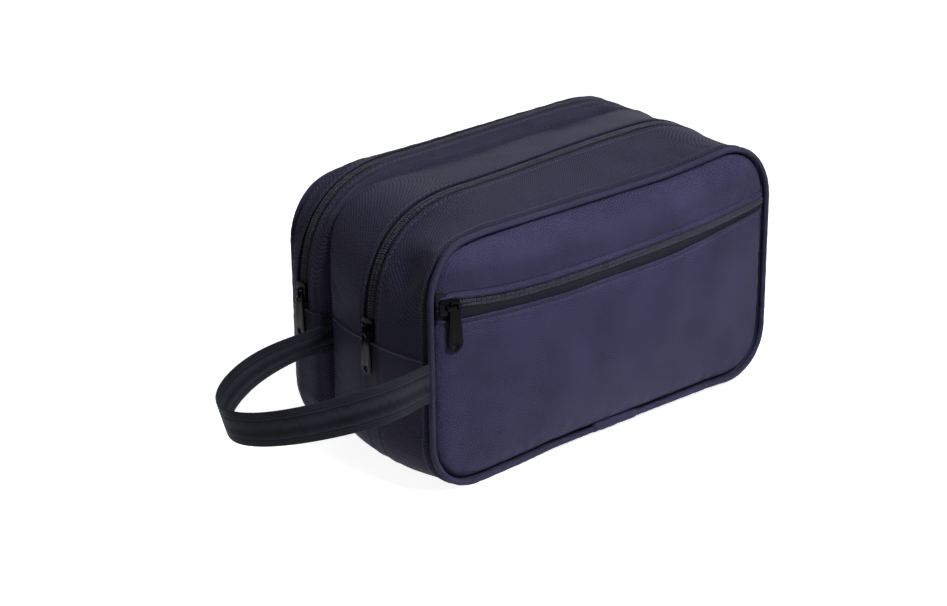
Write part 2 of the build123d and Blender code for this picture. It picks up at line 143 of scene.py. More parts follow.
floor_reach = 12.0
floor_mesh = bpy.data.meshes.new("floor")
floor_mesh.from_pydata(
    [
        (-floor_reach, -floor_reach, 0),
        (floor_reach, -floor_reach, 0),
        (floor_reach, floor_reach, 0),
        (-floor_reach, floor_reach, 0),
    ],
    [],
    [(0, 1, 2, 3)],
)
floor = bpy.data.objects.new("floor", floor_mesh)
bpy.context.collection.objects.link(floor)
floor_material = bpy.data.materials.new("floor_paper")
floor_tree, floor_output = new_tree(floor_material)
floor_paper = floor_tree.nodes.new("ShaderNodeBsdfDiffuse")
floor_paper.inputs["Color"].default_value = (0.8, 0.8, 0.8, 1)
floor_glow = floor_tree.nodes.new("ShaderNodeEmission")
floor_glow.inputs["Strength"].default_value = 0.9
floor_lit = floor_tree.nodes.new("ShaderNodeAddShader")
floor_tree.links.new(floor_paper.outputs[0], floor_lit.inputs[0])
floor_tree.links.new(floor_glow.outputs[0], floor_lit.inputs[1])
floor_mix = floor_tree.nodes.new("ShaderNodeMixShader")
floor_tree.links.new(seen_share(floor_tree), floor_mix.inputs[0])
floor_tree.links.new(floor_paper.outputs[0], floor_mix.inputs[1])
floor_tree.links.new(floor_lit.outputs[0], floor_mix.inputs[2])
floor_tree.links.new(floor_mix.outputs[0], floor_output.inputs[0])
floor_mesh.materials.append(floor_material)


# The sewn outline. The bag is two tubes of cloth side by side, drawn in at three seams and full
# under the zips, so one rounded outline describes it at every depth. A run from 0 to 11 goes
# round that outline from the middle of the bottom by the right end.
run_count = 11
right_end_seam, left_end_seam = 3, 8
top_right_corner, top_left_corner = 4, 6
seam_half = 124 * mm
seam_top = 149 * mm
seam_low = 1.2 * mm
seam_corner_top = 38 * mm
seam_corner_low = 30 * mm
zip_corner = 65 * mm
plateau_half = 6.5 * mm
front_seam = sum(corner.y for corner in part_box("front_piping")) / 2
back_seam = sum(corner.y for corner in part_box("back_piping")) / 2
mid_seam = sum(corner.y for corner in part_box("divider_panel")) / 2
main_zip = (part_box("main_zip_coil_front")[0].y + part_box("main_zip_coil_rear")[1].y) / 2
rear_zip = (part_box("rear_zip_coil_front")[0].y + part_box("rear_zip_coil_rear")[1].y) / 2
zip_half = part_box("main_base")[1].x
end_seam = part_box("main_band_front")[0].z
bead_radius = 2.1 * mm
bead_side = front_seam + bead_radius
fold_side = 0.5 * mm
main_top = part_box("main_band_front")[1].z
rear_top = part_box("rear_band_front")[1].z
compartments = {
    "main": (bead_side, main_zip, mid_seam - fold_side, main_top),
    "rear": (mid_seam + fold_side, rear_zip, -bead_side, rear_top),
}


def swelling(depth, stations):
    """Share of the full swell at a depth: 0 at the seams and 1 along the zip."""
    near, zip_line, far, _ = stations
    before = np.clip((depth - near) / (zip_line - plateau_half - near), 0, 1)
    after = np.clip((far - depth) / (far - zip_line - plateau_half), 0, 1)
    return np.sin(np.minimum(before, after) * math.pi / 2) ** 0.8


def outline_point(run, half, top, low, corner_top, corner_low):
    """Point of a rounded outline at a run, as x and z."""
    run = np.mod(run, run_count)
    span = np.floor(run).astype(int)
    part = run - span
    arc = part * math.pi / 2
    zero = np.zeros_like(part)
    flat_low = half - corner_low
    flat_top = half - corner_top
    side_low = low + corner_low
    side_top = top - corner_top
    x = np.choose(span, [
        flat_low * part,
        flat_low + corner_low * np.sin(arc),
        half + zero,
        half + zero,
        flat_top + corner_top * np.cos(arc),
        flat_top * (1 - 2 * part),
        -flat_top - corner_top * np.sin(arc),
        -half + zero,
        -half + zero,
        -flat_low - corner_low * np.cos(arc),
        -flat_low * (1 - part),
    ])
    z = np.choose(span, [
        low + zero,
        side_low - corner_low * np.cos(arc),
        side_low + (end_seam - side_low) * part,
        end_seam + (side_top - end_seam) * part,
        side_top + corner_top * np.sin(arc),
        top + zero,
        side_top + corner_top * np.cos(arc),
        side_top + (end_seam - side_top) * part,
        end_seam + (side_low - end_seam) * part,
        side_low - corner_low * np.sin(arc),
        low + zero,
    ])
    return x, z


def eased(value, start, end):
    """Smooth rise from 0 at the start to 1 at the end."""
    share = np.clip((value - start) / (end - start), 0, 1)
    return share * share * (3 - 2 * share)


# The filled bag has settled away from its cut. Its top seams sag between the corners, the zips
# stand up towards the right, and the cloth bulges at the zips' rounded corners. The bottom of the
# front and back seams rises between its corners, so the bag rests on its base.
front_sag = 5.1 * mm
mid_sag = 1.2 * mm
back_sag = 2.5 * mm
settle_depths = (front_seam, main_zip, mid_seam, rear_zip, back_seam)
left_bulges = np.array([0, 4.6, 3.7, 4.5, 0]) * mm
right_rises = np.array([0, 5.0, 2.0, 3.0, 0]) * mm
lift_places = (-125, -108, -88, -62, -40, 0, 80, 118)
lift_heights = (0, -0.9, -0.9, 0.3, 1.9, 2.4, 2.2, 0)


def seam_sag(x, depth, z):
    """How far a point of the cloth lies below its cut: sag at the top, less the lift below."""
    hang = eased(x, -118 * mm, -90 * mm) * eased(-x, -118 * mm, -33 * mm)
    front = np.interp(depth, settle_depths[:2], (front_sag, 0)) * hang
    middle = np.interp(depth, settle_depths[1:4], (0, mid_sag, mid_sag / 2))
    back = np.interp(depth, settle_depths[3:], (0, back_sag)) * hang
    lifted = np.interp(x / mm, lift_places, lift_heights)
    lifted = lifted * mm * (1 - eased(z, 6 * mm, 62 * mm))
    lifted = lifted * np.interp(np.abs(depth), (back_seam - 22 * mm, back_seam), (0, 1))
    return (front + middle + back) * eased(z, 112 * mm, 150 * mm) - lifted


def settled(run, points):
    """Points of the outline moved to where the filled cloth has settled."""
    x, depth, z = np.moveaxis(points, -1, 0)
    run = np.mod(run, run_count) + 0 * x
    left = np.clip(run - top_left_corner, 0, 1)
    right = np.clip(top_right_corner + 1 - run, 0, 1)
    bulge = np.interp(depth, settle_depths, left_bulges) * np.sin(left * math.pi) ** 2
    rise = np.interp(depth, settle_depths, right_rises) * eased(x, -75 * mm, 55 * mm)
    push = bulge + rise * eased(1 - left, 0, 1) * eased(1 - right, 0, 0.55)
    angle = (right - left) * math.pi / 2
    moved_z = z + push * np.cos(angle) - seam_sag(x, depth, z)
    return np.stack([x + push * np.sin(angle), depth, moved_z], axis=-1)


def gusset_point(run, depth, inset, stations):
    """Point of a compartment's cloth, inset from its outer face."""
    swell = swelling(depth, stations)
    lift = seam_low * (1 - swell)
    x, z = outline_point(
        run,
        seam_half + swell * (zip_half - seam_half) - inset,
        seam_top + swell * (stations[3] - seam_top) - inset,
        lift + inset,
        seam_corner_top + swell * (zip_corner - seam_corner_top) - inset,
        seam_corner_low - inset,
    )
    return settled(run, np.stack([x, depth + 0 * x, z], axis=-1))


span_lengths = [
    zip_half - seam_corner_low,
    seam_corner_low * math.pi / 2,
    end_seam - seam_corner_low,
    (main_top - zip_corner + seam_top - seam_corner_top) / 2 - end_seam,
    (zip_corner + seam_corner_top) * math.pi / 4,
    2 * zip_half - zip_corner - seam_corner_top,
]
span_lengths += span_lengths[4::-1]


def runs_between(first, last, step):
    """Runs at even steps of cloth from one span's start to another's end."""
    counts = [max(2, round(length / step)) for length in span_lengths]
    found = [
        np.linspace(span, span + 1, counts[span % run_count], endpoint=False)
        for span in range(first, last)
    ]
    return np.concatenate([*found, [last]])


def lengths_along(points):
    """Length along each row of a grid of points."""
    steps = np.linalg.norm(np.diff(points, axis=-2), axis=-1)
    return np.concatenate([0 * steps[..., :1], np.cumsum(steps, axis=-1)], axis=-1)


def waves(seed, count, shortest, longest):
    """Smooth noise of two lengths, as a function whose values stay between -1 and 1."""
    chance = np.random.default_rng(seed)
    angles = chance.uniform(0, 2 * math.pi, count)
    turns = 2 * math.pi / chance.uniform(shortest, longest, count)
    phases = chance.uniform(0, 2 * math.pi, count)

    def height(along, across):
        total = 0
        for angle, turn, phase in zip(angles, turns, phases):
            way = along * math.cos(angle) + across * math.sin(angle)
            total = total + np.sin(turn * way + phase)
        return total / math.sqrt(count) / 1.6

    return height


# Cloth of the bag: navy black woven polyester with fine ribs across the gusset and a violet
# sheen. Each sheet carries its own pattern lengths in metres, so the weave follows the cloth.
cloth_wall = 0.5 * mm
rib_pitch = 1.4 * mm
twill_slant = math.radians(-40)
pick_pitch = 0.62 * mm


def node(tree, kind, **settings):
    """New node with its settings."""
    made = tree.nodes.new(kind)
    for name, value in settings.items():
        setattr(made, name, value)
    return made


def reckon(tree, operation, *values):
    """Math node's result from sockets or numbers."""
    made = node(tree, "ShaderNodeMath", operation=operation)
    for slot, value in zip(made.inputs, values):
        if isinstance(value, (int, float)):
            slot.default_value = value
        else:
            tree.links.new(value, slot)
    return made.outputs[0]


def finish_shader(tree, output, shader, height, strength, distance):
    """Bump from a height, and the shader to the output."""
    bump = node(tree, "ShaderNodeBump")
    bump.inputs["Strength"].default_value = strength
    bump.inputs["Distance"].default_value = distance
    tree.links.new(height, bump.inputs["Height"])
    tree.links.new(bump.outputs[0], shader.inputs["Normal"])
    tree.links.new(shader.outputs[0], output.inputs[0])


def colour_between(tree, share, dark, light):
    """Colour between two by a share."""
    mix = node(tree, "ShaderNodeMix", data_type="RGBA")
    mix.inputs[6].default_value = (*dark, 1)
    mix.inputs[7].default_value = (*light, 1)
    tree.links.new(share, mix.inputs[0])
    return mix.outputs[2]


def woven_cloth(name, dark, light, sheen, sheen_tint, pitches, ribs, grain, slant=0.0, gloss=0.06):
    """Cloth whose yarns follow the sheet's own pattern lengths, turned by the slant."""
    warp_pitch, weft_pitch = pitches
    material = bpy.data.materials.new(name)
    tree, output = new_tree(material)
    shader = node(tree, "ShaderNodeBsdfPrincipled")
    shader.inputs["Sheen Weight"].default_value = sheen
    shader.inputs["Sheen Roughness"].default_value = 0.32
    shader.inputs["Sheen Tint"].default_value = (*sheen_tint, 1)
    shader.inputs["Specular IOR Level"].default_value = gloss
    pattern = node(tree, "ShaderNodeUVMap", uv_map="pattern")
    turn = node(tree, "ShaderNodeMapping")
    turn.inputs["Rotation"].default_value = (0, 0, slant)
    tree.links.new(pattern.outputs[0], turn.inputs["Vector"])
    parts = node(tree, "ShaderNodeSeparateXYZ")
    tree.links.new(turn.outputs[0], parts.inputs[0])
    uneven = node(tree, "ShaderNodeTexNoise", noise_dimensions="2D")
    uneven.inputs["Scale"].default_value = 420
    uneven.inputs["Detail"].default_value = 2
    tree.links.new(turn.outputs[0], uneven.inputs["Vector"])
    drift = reckon(tree, "MULTIPLY", uneven.outputs["Fac"], 2.2)
    warp_turn = reckon(tree, "MULTIPLY_ADD", parts.outputs[0], 2 * math.pi / warp_pitch, drift)
    weft_turn = reckon(tree, "MULTIPLY_ADD", parts.outputs[1], 2 * math.pi / weft_pitch, drift)
    warp = reckon(tree, "SINE", warp_turn)
    weft = reckon(tree, "SINE", weft_turn)
    crossing = reckon(tree, "MULTIPLY", warp, weft)
    ridges = reckon(tree, "MULTIPLY_ADD", warp, ribs, 0.5)
    knots = reckon(tree, "MULTIPLY_ADD", crossing, 0.07, ridges)
    speck = node(tree, "ShaderNodeTexNoise", noise_dimensions="2D")
    speck.inputs["Scale"].default_value = 2500
    speck.inputs["Detail"].default_value = 1
    tree.links.new(turn.outputs[0], speck.inputs["Vector"])
    fleck = reckon(tree, "MULTIPLY_ADD", speck.outputs["Fac"], grain, -grain / 2)
    yarn = reckon(tree, "ADD", knots, fleck)
    broad = node(tree, "ShaderNodeTexNoise", noise_dimensions="3D")
    broad.inputs["Scale"].default_value = 38
    broad.inputs["Detail"].default_value = 3
    place = node(tree, "ShaderNodeTexCoord")
    tree.links.new(place.outputs["Object"], broad.inputs["Vector"])
    tone = reckon(tree, "MULTIPLY_ADD", broad.outputs["Fac"], 0.5, -0.25)
    share = reckon(tree, "ADD", yarn, tone)
    tree.links.new(colour_between(tree, share, dark, light), shader.inputs["Base Color"])
    rough = reckon(tree, "MULTIPLY_ADD", yarn, -0.12, 0.66)
    tree.links.new(rough, shader.inputs["Roughness"])
    finish_shader(tree, output, shader, yarn, 0.4, 0.00015)
    return material


cloth_dark = (0.0030, 0.0030, 0.0060)
cloth_light = (0.0600, 0.0580, 0.1280)
cloth_sheen = (0.45, 0.44, 0.90)
# Painted shade: the gusset's copy of the panels' fabric is painted darker and greyer, so the top and
# ends render as if they caught less light. Its fine ribs are the weave's own.
shaded_gusset_cloth = woven_cloth(
    "shaded_gusset_cloth", cloth_dark, (0.0440, 0.0420, 0.0770), 0.05, cloth_sheen,
    (rib_pitch, pick_pitch), ribs=0.2, grain=2.4, slant=twill_slant,
)
panel_cloth = woven_cloth(
    "panel_cloth", cloth_dark, cloth_light, 0.06, cloth_sheen,
    (rib_pitch, pick_pitch), ribs=0.04, grain=2.8, slant=twill_slant,
)


def cloth_piece(name, points, pattern, wall, material, outward_from=(0, 0, 0.075)):
    """Sheet object from a grid of outer points, with its wall laid inwards."""
    rows, columns = points.shape[:2]
    corner = np.arange(rows * columns).reshape(rows, columns)
    faces = np.stack(
        [corner[:-1, :-1], corner[:-1, 1:], corner[1:, 1:], corner[1:, :-1]], axis=-1
    ).reshape(-1, 4)
    across = points[1:-1, 2:] - points[1:-1, :-2]
    down = points[2:, 1:-1] - points[:-2, 1:-1]
    outward = points[1:-1, 1:-1] - np.array(outward_from)
    if np.sum(np.cross(across, down) * outward) < 0:
        faces = faces[:, ::-1]
    mesh = bpy.data.meshes.new(name)
    mesh.from_pydata(points.reshape(-1, 3).tolist(), [], faces.tolist())
    layer = mesh.uv_layers.new(name="pattern")
    layer.data.foreach_set("uv", pattern.reshape(-1, 2)[faces.ravel()].astype(np.float32).ravel())
    mesh.shade_smooth()
    mesh.materials.append(material)
    piece = bpy.data.objects.new(name, mesh)
    bpy.context.collection.objects.link(piece)
    if wall:
        thick = piece.modifiers.new("wall", "SOLIDIFY")
        thick.thickness = wall
        thick.offset = -1
    return piece


# Gusset bands: four strips of the bag's cloth over the top and ends. Each has one edge in a
# piped or plain seam, and the other folded under and topstitched along its zip.
cloth_step = 1.6 * mm
window_half = 4.75 * mm
fold_drop = 1.15 * mm
fold_radius = fold_drop / 2
turned_in = 4.0 * mm
slack = {
    "main": waves(11, 9, 38 * mm, 95 * mm),
    "rear": waves(12, 9, 38 * mm, 95 * mm),
}
ripple = waves(21, 7, 6 * mm, 15 * mm)
hem_ridge = 0.4 * mm
hem_groove = 0.3 * mm
corner_start = sum(span_lengths[:top_left_corner])
# Dents by the top left corner: place along it, distance from the front seam, height, half
# length and half width, in millimetres.
corner_dents = [
    (56, 20, -2.6, 9, 8),
    (40, 17, 1.7, 8, 10),
    (54, 31, 0.9, 13, 5),
    (44, 6, 1.0, 12, 4),
    (84, 12, -1.2, 14, 7),
    (18, 22, 0.6, 16, 9),
]
seam_steps = np.array([0.25, 0.5, 0.8, 1.1, 1.4, 1.7, 2.0, 2.4, 2.9, 3.5, 4.2, 5.2]) * mm
hem_steps = np.array([0, 0.4, 0.8, 1.2, 1.6, 2.0, 2.3, 2.6, 3.0, 3.5, 4.2, 5.2]) * mm
lap_places = (3.2, 7.0)
lap_height = 0.45 * mm
# A seam's valley: its depth, the flat at its foot, its slope's reach and the ridge beyond it.
piped_valley = (2.6 * mm, 0.2 * mm, 1.3 * mm, 0.9 * mm)
plain_valley = (1.5 * mm, 0.0 * mm, 1.6 * mm, 0.3 * mm)
valleys = {"main": (piped_valley, plain_valley), "rear": (plain_valley, piped_valley)}
slack_height = 0.8 * mm
ripple_height = 0.32 * mm
ripple_reach = 7 * mm


def fold_profile(edge, side):
    """Depth and inset of a folded edge: the rim's half round and the turned-in strip."""
    turns = np.linspace(0, math.pi, 7)
    rim = [
        (edge - side * fold_radius * (1 - math.sin(turn)), fold_radius * (1 - math.cos(turn)))
        for turn in turns
    ]
    return [*rim, (edge - side * (fold_radius + turned_in), fold_drop)]


def seam_profile(seam, side):
    """Depth and inset of a raw edge that dives into a plain seam, or under a piped seam's bead."""
    if seam in (bead_side, -bead_side):
        return [
            (seam, 0), (seam + side * 0.5 * mm, -0.1 * mm), (seam + side * 1.2 * mm, -0.3 * mm)
        ]
    return [
        (seam - side * 0.1 * mm, 0.1 * mm),
        (seam + side * 0.15 * mm, 0.6 * mm),
        (seam + side * 0.2 * mm, 1.6 * mm),
        (seam + side * 0.2 * mm, 3.2 * mm),
    ]


def gusset_face(run, depth, stations, compartment, inset=0.0):
    """Outer face of the gusset cloth with its slack and the ripples along its seams."""
    base = gusset_point(run, depth, inset, stations)
    near, zip_line, far, _ = stations
    span_starts = np.concatenate([[0], np.cumsum(span_lengths)])
    along = np.interp(np.mod(run, run_count), np.arange(run_count + 1), span_starts)
    loose = swelling(depth, stations)
    loose = np.clip(loose * (1 - loose) * 4, 0, 1)
    bulge = slack[compartment](along, depth * 1.5) * slack_height * loose
    from_zip = np.abs(depth - zip_line) - window_half
    bulge = bulge + hem_ridge * np.exp(-(((from_zip - 0.9 * mm) / (0.8 * mm)) ** 2))
    bulge = bulge - hem_groove * np.exp(-(((from_zip - 2.3 * mm) / (0.6 * mm)) ** 2))
    if compartment == "main":
        for place, across_seam, height, long, wide in corner_dents:
            share = np.exp(-(((along - corner_start) / mm - place) / long) ** 2)
            share = share * np.exp(-(((depth - front_seam) / mm - across_seam) / wide) ** 2)
            bulge = bulge + height * mm * share
    else:
        from_seam = (depth - near) / mm
        for place in lap_places:
            bulge = bulge + lap_height * np.exp(-((from_seam - place) / 0.9) ** 2)
    for seam, valley in zip((near, far), valleys[compartment]):
        deep, start, reach, ridge = valley
        from_edge = np.abs(depth - seam)
        bulge = bulge - deep * (1 - eased(from_edge, start, start + reach))
        from_ridge = from_edge - start - reach - 0.4 * mm
        bulge = bulge + ridge * np.exp(-((from_ridge / (1.1 * mm)) ** 2))
    for seam in (near, far):
        from_edge = np.abs(depth - seam)
        close = np.exp(-from_edge / ripple_reach) - np.exp(-from_edge * 3 / ripple_reach)
        bulge = bulge + ripple(along, seam + 0.3 * depth) * ripple_height * close * 2
    push = gusset_point(run, depth, inset - 1 * mm, stations) - base
    return base + push * (bulge / mm)[..., None]


def crowded(start, end, start_steps, end_steps):
    """Depths from a start to an end that crowd at both."""
    way = 1 if end > start else -1
    reach = abs(end - start)
    inner = np.arange(
        start_steps[-1] + cloth_step, reach - end_steps[-1] - cloth_step / 2, cloth_step
    )
    return start + way * np.concatenate([start_steps, inner, reach - end_steps[::-1]])


def end_tuck(points, under):
    """Adds the cloth's ends at the end seams: lapped over it, or tucked under it."""
    laps = (
        [(-3.0, -0.9), (-1.2, -0.7), (-0.2, -0.45)]
        if under
        else [(1.3, -0.5), (1.25, 0.3), (0.9, 0.6), (0.35, 0.55), (-0.4, 0.2)]
    )
    left, right = [], []
    for rise, proud in laps:
        step = np.array([proud * mm, 0, rise * mm])
        right.append(points[:, :1] + step * np.sign(points[:1, :1, :1]) ** np.array([1, 0, 0]))
        left.append(points[:, -1:] + step * np.sign(points[:1, -1:, :1]) ** np.array([1, 0, 0]))
    return np.concatenate([*right, points, *left[::-1]], axis=1)


for compartment, stations in compartments.items():
    near, zip_line, far, _ = stations
    front_edge = zip_line - window_half
    rear_edge = zip_line + window_half
    strips = {
        "front": (seam_profile(near, -1), (near, front_edge), fold_profile(front_edge, 1)),
        "rear": (seam_profile(far, 1), (far, rear_edge), fold_profile(rear_edge, -1)),
    }
    for side, (tuck, edges, fold) in strips.items():
        toward_zip = 1 if side == "front" else -1
        flat = crowded(edges[0], edges[1] - toward_zip * fold_radius, seam_steps, hem_steps)
        profile = np.array([*tuck[::-1], *[(depth, 0) for depth in flat], *fold[1:]])
        runs = runs_between(right_end_seam, left_end_seam, cloth_step)
        points = gusset_face(
            runs[None, :], profile[:, :1], stations, compartment, profile[:, 1:]
        )
        points = end_tuck(points, under=True)
        lengths = lengths_along(points[len(tuck)][None])[0]
        widths = lengths_along(points[:, points.shape[1] // 2][None])[0] * toward_zip
        pattern = np.stack(np.meshgrid(lengths, widths), axis=-1)
        band = cloth_piece(f"{compartment}_gusset_{side}", points, pattern, cloth_wall, shaded_gusset_cloth)
        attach(band, "bag")
        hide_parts(f"{compartment}_band_{side}")


# Bases: one piece of cloth for each compartment under the end seams, whose ends lap over the
# zip's ends and the bands, and so leave a low ridge across the bag's ends.
for compartment, stations in compartments.items():
    near, zip_line, far, _ = stations
    flat = crowded(near, far, seam_steps, seam_steps)
    profile = np.array([
        *seam_profile(near, -1)[::-1],
        *[(depth, 0) for depth in flat],
        *seam_profile(far, 1),
    ])
    runs = runs_between(left_end_seam, run_count + right_end_seam, cloth_step)
    points = gusset_face(runs[None, :], profile[:, :1], stations, compartment, profile[:, 1:])
    points = end_tuck(points, under=False)
    points[..., 2] = np.maximum(points[..., 2], 0)
    lengths = lengths_along(points[len(profile) // 2][None])[0]
    widths = lengths_along(points[:, points.shape[1] // 2][None])[0]
    pattern = np.stack(np.meshgrid(lengths, widths), axis=-1)
    base = cloth_piece(f"{compartment}_bottom", points, pattern, cloth_wall, shaded_gusset_cloth)
    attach(base, "bag")
    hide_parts(f"{compartment}_base")


# Front and back panels: flat-cut cloth that swells between its piped edges. The front one is cut
# across for the pocket's zip, and both edges of that cut are folded under and topstitched.
piping_half = 125 * mm
piping_top = 150 * mm
piping_low = 1 * mm
piping_corner_top = 39 * mm
piping_corner_low = 31 * mm
bead_width = 2 * bead_radius
chain_height = (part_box("pocket_zip_coil_lower")[0].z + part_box("pocket_zip_coil_upper")[1].z) / 2
pocket_edge_below = 7.4 * mm
pocket_edge_above = 2.8 * mm
plateau_reach = 9.6 * mm
panel_fold_drop = 0.95 * mm
back_middle = (piping_low + piping_top) / 2
panel_sides = {
    "front": (front_seam, -1, front_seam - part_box("front_pocket_panel")[0].y, chain_height),
    "back": (back_seam, 1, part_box("back_panel")[1].y - back_seam, back_middle),
}
panel_wall = 0.42 * mm
panel_valley = 3.0 * mm
panel_valley_reach = 2.3 * mm
corner_hollow = 1.8 * mm
corner_hollow_reach = 6 * mm
padding = 1.7 * mm
panel_slack = waves(31, 10, 35 * mm, 110 * mm)
panel_ripple = waves(32, 8, 5 * mm, 13 * mm)


def inside_half(z, inset):
    """Half the width inside the piping's outline at a height."""
    over = np.clip(z - (piping_top - piping_corner_top), 0, piping_corner_top - inset)
    under = np.clip(piping_low + piping_corner_low - z, 0, piping_corner_low - inset)
    top = np.sqrt((piping_corner_top - inset) ** 2 - over**2) - piping_corner_top
    low = np.sqrt((piping_corner_low - inset) ** 2 - under**2) - piping_corner_low
    return piping_half + np.where(over > 0, top, np.where(under > 0, low, -inset))


def rim_distance(x, z):
    """Distance inwards from the piping's outline."""
    upper = z > (piping_low + piping_top) / 2
    radius = np.where(upper, piping_corner_top, piping_corner_low)
    rise = np.where(upper, piping_top - z, z - piping_low)
    side = piping_half - np.abs(x)
    corner = radius - np.hypot(radius - side, radius - rise)
    return np.where((side < radius) & (rise < radius), corner, np.minimum(side, rise))


def crown_share(z, middle):
    """Share of the crown at a height: full in the flat band and falling to the seams."""
    below = np.clip((middle - plateau_reach - z) / (middle - plateau_reach - piping_low), 0, 1)
    above = np.clip((z - middle - plateau_reach) / (piping_top - middle - plateau_reach), 0, 1)
    return 1 - below**2.6 - above**2


def chain_shift(x):
    """How far the pocket's chain stands above its straight line."""
    width = np.where(x < -72 * mm, 30 * mm, 48 * mm)
    dip = 2.2 * mm * np.exp(-(((x + 72 * mm) / width) ** 2)) * eased(x, -115 * mm, -90 * mm)
    return 0.4 * mm * eased(x, -20 * mm, 10 * mm) - dip


def mouth_shift(x):
    """How far the pocket's lower edge stands above its straight line."""
    left = 1.4 * mm * eased(x, -122 * mm, -100 * mm) * eased(-x, 6 * mm, 46 * mm)
    return 2.9 * mm * eased(x, 20 * mm, 110 * mm) - left


# Folded edges of the pocket's mouth: height, shift along it, side of the cloth, and the height
# of its fold's ridge and the depth of its sewn groove.
mouth_edges = [
    (chain_height - pocket_edge_below, mouth_shift, 1, 0.55 * mm, 0.35 * mm),
    (chain_height + pocket_edge_above, chain_shift, -1, 0.55 * mm, 1.7 * mm),
]
ridge_place = {1: 0.7 * mm, -1: 1.3 * mm}
sewn_place = 3.2 * mm
mouth_steps = np.array([0, 0.3, 0.6, 0.9, 1.3, 1.7, 2.1, 2.5, 2.8, 3.2, 3.6, 3.9, 4.4, 5.2]) * mm


def panel_point(x, z, side, drop=0.0, plain=False):
    """Point of a panel's cloth, dropped inwards from its outer face."""
    seam, outward, crown, middle = panel_sides[side]
    share = np.maximum(crown_share(z, middle), 0.03)
    rise = crown * share
    radius = (piping_half**2 + rise**2) / (2 * rise)
    swell = np.sqrt(radius**2 - np.minimum(np.abs(x), piping_half) ** 2) - (radius - rise)
    if not plain:
        rim = rim_distance(x, z)
        away = eased(np.abs(z - middle), 8 * mm, 22 * mm) if side == "front" else 1.0
        full = padding * (1 - np.exp(-np.maximum(rim - bead_width, 0) / (7 * mm)))
        loose = np.clip((rim - bead_width) / (25 * mm), 0, 1)
        wave = panel_slack(x, z * 1.3) * 0.8 * mm * loose
        close = np.maximum(rim - bead_width, 0)
        pucker = np.exp(-close / (6 * mm)) - np.exp(-close / (1.5 * mm))
        pucker = panel_ripple(x + 0.4 * z, z) * 0.7 * mm * pucker
        swell = swell + (full + wave + pucker) * away
        swell = swell - 1.6 * mm * np.clip((bead_width + 0.3 * mm - rim) / (1.0 * mm), 0, 1.4) ** 2
        if side == "front":
            for edge, shift, climb, ridge, groove in mouth_edges:
                inside = climb * (edge + shift(x) - z)
                fold = (inside - ridge_place[climb]) / ridge_place[climb]
                swell = swell + ridge * np.exp(-fold ** 2)
                swell = swell - groove * np.exp(-((inside - sewn_place) / (0.7 * mm)) ** 2)
        corner = eased(-x, 60 * mm, 105 * mm) * eased(z, 95 * mm, 115 * mm) * (side == "front")
        swell = swell - panel_valley * np.exp(-close / panel_valley_reach)
        swell = swell - corner_hollow * corner * np.exp(-close / corner_hollow_reach)
    depth = seam + outward * (swell - drop)
    return np.stack([x, depth, z - seam_sag(x, seam, z)], axis=-1)


def spread(count, bend):
    """Shares from 0 to 1 that crowd towards 0."""
    even = np.linspace(0, 1, count)
    return (1 - bend) * even + bend * (1 - np.cos(even * math.pi / 2))


panel_cut = bead_width - 1.7 * mm
across = np.linspace(-1, 1, 171)
across = 0.55 * across + 0.45 * np.sin(across * math.pi / 2)
panel_parts = {
    "front_pocket_sheet": (
        "front_pocket_panel", piping_low + panel_cut, chain_height - pocket_edge_below, 1,
        mouth_shift,
    ),
    "front_upper_sheet": (
        "front_upper_panel", piping_top - panel_cut, chain_height + pocket_edge_above, -1,
        chain_shift,
    ),
}


def panel_rows(start, end, climb, shift=None):
    """Rows of x, z and drop from a panel's piped edge; a shift bends and folds its far edge."""
    radius = panel_fold_drop / 2 if shift else 0
    reach = abs(end - start) - radius
    shares = spread(round(reach / cloth_step), 0.5)
    if shift:
        plain_part = shares[shares < 1 - 6 * mm / reach]
        shares = np.concatenate([plain_part, 1 - mouth_steps[::-1] / reach])
    rows = []
    for share in shares:
        z = start + (end - climb * radius - start) * share
        x = across * inside_half(z, panel_cut)
        rows.append((x, z + (shift(x) * share**2 if shift else 0 * x), 0 * x))
    if shift:
        x = across * inside_half(end, panel_cut)
        edge = end + shift(x)
        for turn in np.linspace(0, math.pi, 7)[1:]:
            z = edge - climb * radius * (1 - math.sin(turn))
            rows.append((x, z, radius * (1 - math.cos(turn)) + 0 * x))
        rows.append((x, edge - climb * (radius + turned_in), panel_fold_drop + 0 * x))
    return [np.stack(layer) for layer in zip(*rows)]


for name, (node_name, start, end, climb, shift) in panel_parts.items():
    x, z, drop = panel_rows(start, end, climb, shift)
    sheet = cloth_piece(
        name, panel_point(x, z, "front", drop), np.stack([x, z + drop], axis=-1), panel_wall,
        panel_cloth,
    )
    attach(sheet, "bag")
    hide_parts(node_name)

back_rows = [
    panel_rows(piping_low + panel_cut, back_middle, 1),
    panel_rows(piping_top - panel_cut, back_middle, -1),
]
x, z, drop = [
    np.concatenate([low, high[-2::-1]]) for low, high in zip(*back_rows)
]
sheet = cloth_piece(
    "back_sheet", panel_point(x, z, "back", drop), np.stack([x, z], axis=-1), panel_wall, panel_cloth
)
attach(sheet, "bag")
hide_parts("back_panel")


# Piping: a cord wrapped in a bias-cut strip of the same cloth, sewn into the front and back
# seams. Its cover wrinkles at a slant, and in front its two ends meet in a wrapped join.
piping_cloth = woven_cloth(
    "piping_cloth",
    cloth_dark,
    (0.0560, 0.0540, 0.1100),
    0.08,
    cloth_sheen,
    (0.8 * mm, 0.8 * mm),
    ribs=0.14,
    grain=1.2,
    slant=math.radians(45),
)
bead_sides = 18
bead_slimmer = 0.45 * mm
bead_step = 0.9 * mm
wrinkle = waves(41, 6, 2.5 * mm, 7 * mm)


